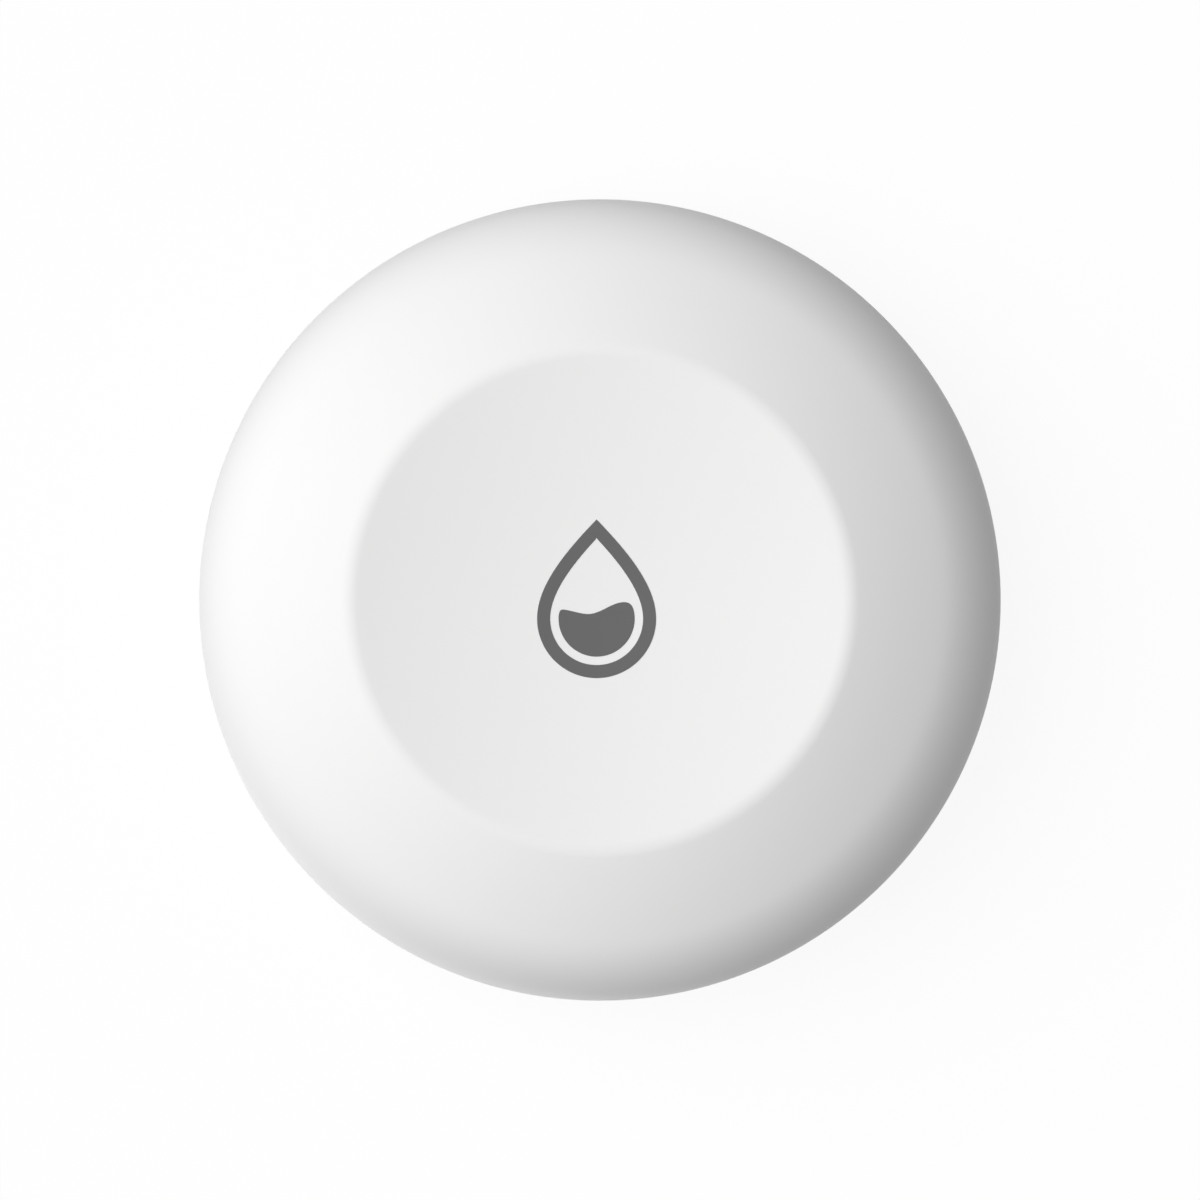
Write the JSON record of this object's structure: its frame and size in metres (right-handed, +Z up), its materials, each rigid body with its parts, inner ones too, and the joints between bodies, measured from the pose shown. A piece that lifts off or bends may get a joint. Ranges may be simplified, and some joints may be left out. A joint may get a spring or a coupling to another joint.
{
  "type": "water leak sensor",
  "caption": "Round pebble-shaped floor sensor with a dished top, water probes, reset button and a coin-turned battery cover underneath.",
  "frame": {"origin": "on the floor plane, below the centre of the round housing", "axes": "+Z up out of the dished top, +Y towards the tip of the printed drop, between the two probes"},
  "size_m": [0.062, 0.062, 0.018],
  "materials": {
    "shell_white": "satin moulded",
    "base_white": "fine textured",
    "cover_white": "fine textured",
    "gasket_grey": "matt silicone",
    "screw_steel": "zinc plated",
    "foot_rubber": "matt",
    "seal_black": "matt",
    "cell_can": "drawn steel look",
    "holder_black": "moulded",
    "contact_metal": "nickel plated",
    "board_green": "solder mask",
    "module_green": "solder mask",
    "chip_black": "moulded",
    "shield_metal": "tin plated",
    "capacitor_yellow": "moulded",
    "ceramic_tan": "sintered",
    "light_clear": "clear resin",
    "plunger_white": "moulded",
    "button_silicone": "silicone",
    "probe_steel": "polished",
    "standoff_brass": "turned",
    "sign_ink": "pad printed"
  },
  "bodies": {
    "housing": {"top_shell": "shell_white", "base_shell": "base_white", "rim_gasket": "gasket_grey", "case_screws": "screw_steel", "rubber_feet": "foot_rubber", "coin_cell": "cell_can", "cell_holder": "holder_black", "negative_contact": "contact_metal", "positive_contacts": "contact_metal", "circuit_board": "board_green", "radio_module": "module_green", "radio_chip": "chip_black", "radio_shield": "shield_metal", "detector_chip": "chip_black", "bulk_capacitor": "capacitor_yellow", "chip_capacitors": "ceramic_tan", "chip_resistors": "chip_black", "status_light": "light_clear", "switch_body": "chip_black", "switch_cover": "shield_metal", "probe_pins": "probe_steel", "probe_seals": "seal_black", "probe_standoffs": "standoff_brass"},
    "cover": {"battery_cover": "cover_white", "cover_seal": "seal_black"},
    "button": {"reset_button": "button_silicone"},
    "plunger": {"switch_plunger": "plunger_white"}
  },
  "joints": [
    {"name": "cover_twist", "type": "hinge", "parent": "housing", "child": "cover", "pos_m": [0, 0, 0.001], "axis": [0, 0, -1], "range_deg": [0, 40]},
    {"name": "button_press", "type": "slide", "parent": "housing", "child": "button", "axis": [0, 0, 1], "range_m": [0, 0.00035], "stiffness_N_per_m": 400},
    {"name": "plunger_press", "type": "slide", "parent": "housing", "child": "plunger", "axis": [0, 0, 1], "range_m": [0, 0.00035]}
  ],
  "couplings": [
    {"joint": "plunger_press", "follows": "button_press", "ratio": 1}
  ]
}
